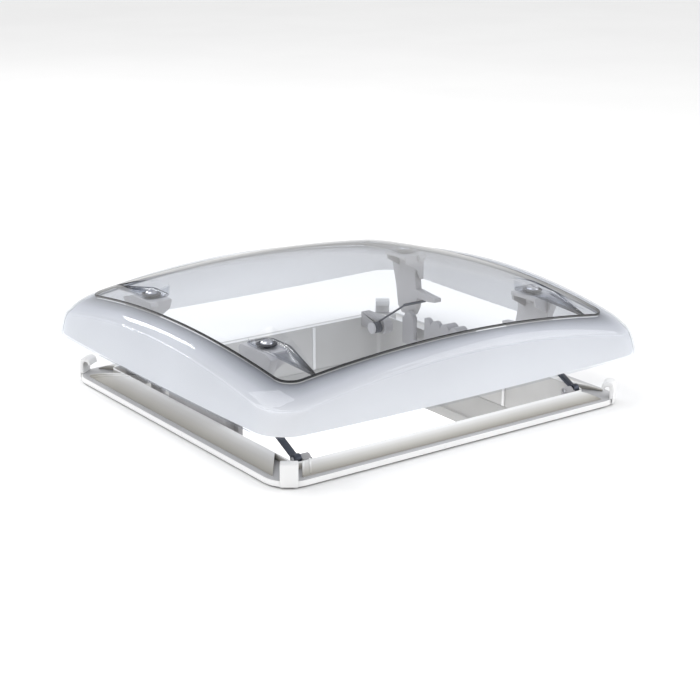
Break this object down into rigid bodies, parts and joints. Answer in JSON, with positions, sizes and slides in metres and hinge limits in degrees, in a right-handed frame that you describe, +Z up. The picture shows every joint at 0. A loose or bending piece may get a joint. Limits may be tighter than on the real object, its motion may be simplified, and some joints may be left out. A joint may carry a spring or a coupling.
{
  "type": "roof vent",
  "caption": "Roof vent with a clear crowned dome that rises on sprung arms over a white flanged frame for a square roof cut-out",
  "frame": {"origin": "centre of the opening at the ceiling trim's underside", "axes": "+Z up through the roof, +X to the right and +Y towards the edge with the coil springs, seen from the front"},
  "size_m": [0.4974, 0.4694, 0.239],
  "materials": {
    "white_plastic": "satin",
    "trim_plastic": "satin",
    "foam_gasket": "matte",
    "grey_plastic": "satin",
    "pale_plastic": "satin",
    "zinc_steel": "satin",
    "dark_steel": "satin",
    "clear_acrylic": "gloss",
    "frosted_acrylic": "frosted",
    "black_bond": "satin",
    "chrome_screw": "polished",
    "dark_washer": "satin"
  },
  "bodies": {
    "base": {"roof_frame": "white_plastic", "inner_frame": "trim_plastic", "roof_gasket": "foam_gasket", "corner_clip_front_left": "white_plastic", "corner_clip_front_right": "white_plastic", "corner_clip_rear_left": "white_plastic", "corner_clip_rear_right": "white_plastic", "side_rail_left": "grey_plastic", "side_rail_right": "grey_plastic", "rail_screws": "zinc_steel", "spring_bracket_left": "grey_plastic", "spring_bracket_right": "grey_plastic", "spring_pin_left": "pale_plastic", "spring_pin_right": "pale_plastic", "strap_bracket_left": "grey_plastic", "strap_bracket_right": "grey_plastic", "strap_pin_left": "zinc_steel", "strap_pin_right": "zinc_steel"},
    "dome": {"arm_front_left": "grey_plastic", "arm_front_right": "grey_plastic", "arm_rear_left": "grey_plastic", "arm_rear_right": "grey_plastic", "dome_shell": "clear_acrylic", "frosted_liner": "frosted_acrylic", "seam_strip": "black_bond", "dome_screws": "chrome_screw", "screw_washers": "dark_washer"},
    "spring_left": {"rear_spring_left": "dark_steel"},
    "spring_right": {"rear_spring_right": "dark_steel"},
    "strap_left": {"front_strap_left": "dark_steel"},
    "strap_right": {"front_strap_right": "dark_steel"}
  },
  "joints": [
    {"name": "dome_lift", "type": "slide", "parent": "base", "child": "dome", "axis": [0, 0, 1], "range_m": [-0.045, 0], "stiffness_N_per_m": 500, "springref_m": 0.12},
    {"name": "spring_left_turn", "type": "hinge", "parent": "base", "child": "spring_left", "pos_m": [-0.157, 0.146, 0.098], "axis": [1, 0, 0], "range_deg": [0, 41]},
    {"name": "spring_right_turn", "type": "hinge", "parent": "base", "child": "spring_right", "pos_m": [0.157, 0.146, 0.098], "axis": [1, 0, 0], "range_deg": [0, 41]},
    {"name": "strap_left_turn", "type": "hinge", "parent": "base", "child": "strap_left", "pos_m": [-0.187, -0.181, 0.1005], "axis": [1, 0, 0], "range_deg": [-28, 0]},
    {"name": "strap_right_turn", "type": "hinge", "parent": "base", "child": "strap_right", "pos_m": [0.187, -0.181, 0.1005], "axis": [1, 0, 0], "range_deg": [-28, 0]}
  ],
  "couplings": [
    {"joint": "spring_left_turn", "follows": "dome_lift", "rad_per_m": -15.74},
    {"joint": "spring_right_turn", "follows": "dome_lift", "rad_per_m": -15.74},
    {"joint": "strap_left_turn", "follows": "dome_lift", "rad_per_m": 10.68},
    {"joint": "strap_right_turn", "follows": "dome_lift", "rad_per_m": 10.68}
  ]
}
